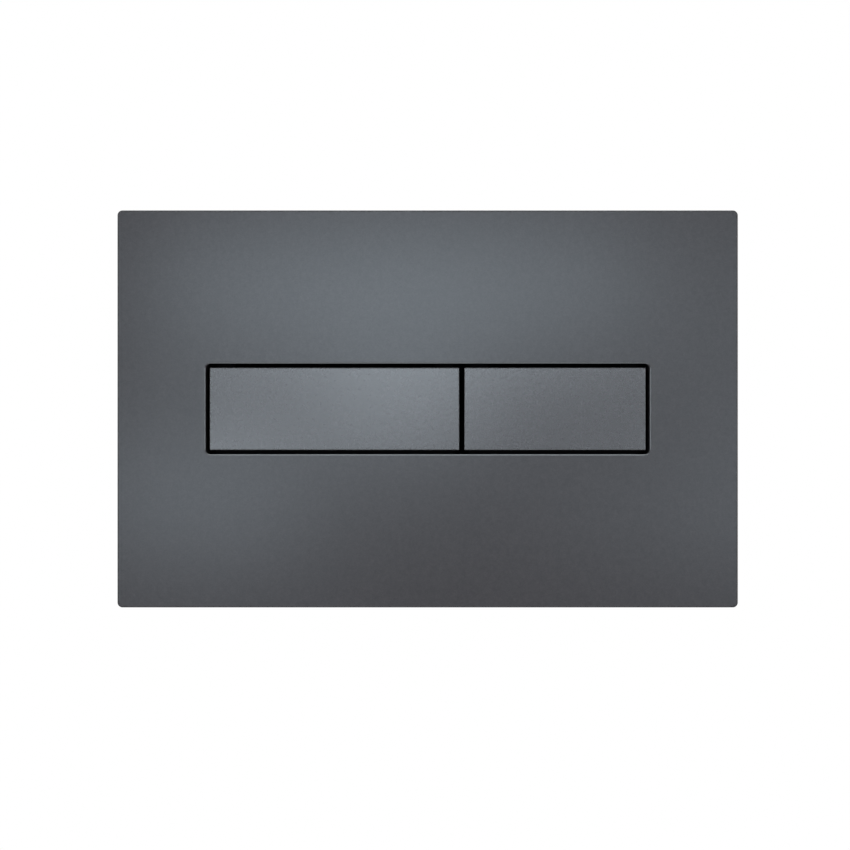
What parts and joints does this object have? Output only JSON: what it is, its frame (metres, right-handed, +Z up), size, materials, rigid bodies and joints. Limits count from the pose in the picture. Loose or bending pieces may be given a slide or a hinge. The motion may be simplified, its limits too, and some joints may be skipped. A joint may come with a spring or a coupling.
{
  "type": "flush button plate",
  "caption": "Rectangular satin flush plate with a wide and a narrow button side by side, hinged along their top edges, each pushing a rod towards a concealed cistern's flush valve.",
  "frame": {"origin": "on the wall plane, midway between the two fixing bolts and behind the middle of the plate", "axes": "+X to the right as a user faces the plate, +Y into the wall along the bolts, +Z up"},
  "size_m": [0.25, 0.0763, 0.16],
  "materials": {
    "plate_lacquer": "satin anthracite metallic lacquer",
    "button_lacquer": "satin anthracite metallic lacquer, a little lighter than the plate",
    "black_plastic": "moulded, matt",
    "grey_plastic": "moulded, matt",
    "white_plastic": "moulded, satin",
    "blue_plastic": "moulded, satin",
    "steel": "drawn wire and zinc plated",
    "rubber": "matt"
  },
  "bodies": {
    "plate": {"front_plate": "plate_lacquer", "button_carrier": "black_plastic", "carrier_screws": "steel", "full_hinge_pin": "steel", "half_hinge_pin": "steel", "full_return_spring": "steel", "half_return_spring": "steel", "full_stop_pads": "rubber", "half_stop_pads": "rubber", "mounting_frame": "grey_plastic", "left_fixing_bolt": "white_plastic", "right_fixing_bolt": "white_plastic"},
    "full_button": {"full_button_cap": "button_lacquer", "full_button_lever": "black_plastic"},
    "half_button": {"half_button_cap": "button_lacquer", "half_button_lever": "black_plastic"},
    "full_rod": {"full_push_rod": "white_plastic", "full_rod_adjuster": "blue_plastic"},
    "half_rod": {"half_push_rod": "white_plastic", "half_rod_adjuster": "blue_plastic"}
  },
  "joints": [
    {"name": "full_button_hinge", "type": "hinge", "parent": "plate", "child": "full_button", "pos_m": [-0.03753, -0.0035, 0.0235], "axis": [1, 0, 0], "range_deg": [0, 8], "stiffness_Nm_per_rad": 0.4, "springref_deg": -8.59, "deforming": ["full_return_spring"]},
    {"name": "half_button_hinge", "type": "hinge", "parent": "plate", "child": "half_button", "pos_m": [0.05128, -0.0035, 0.0235], "axis": [1, 0, 0], "range_deg": [0, 8], "stiffness_Nm_per_rad": 0.4, "springref_deg": -8.59, "deforming": ["half_return_spring"]},
    {"name": "full_rod_slide", "type": "slide", "parent": "plate", "child": "full_rod", "axis": [0, 1, 0], "range_m": [0, 0.00468]},
    {"name": "half_rod_slide", "type": "slide", "parent": "plate", "child": "half_rod", "axis": [0, 1, 0], "range_m": [0, 0.00468]}
  ],
  "couplings": [
    {"joint": "full_rod_slide", "follows": "full_button_hinge", "m_per_rad": 0.0335},
    {"joint": "half_rod_slide", "follows": "half_button_hinge", "m_per_rad": 0.0335}
  ]
}
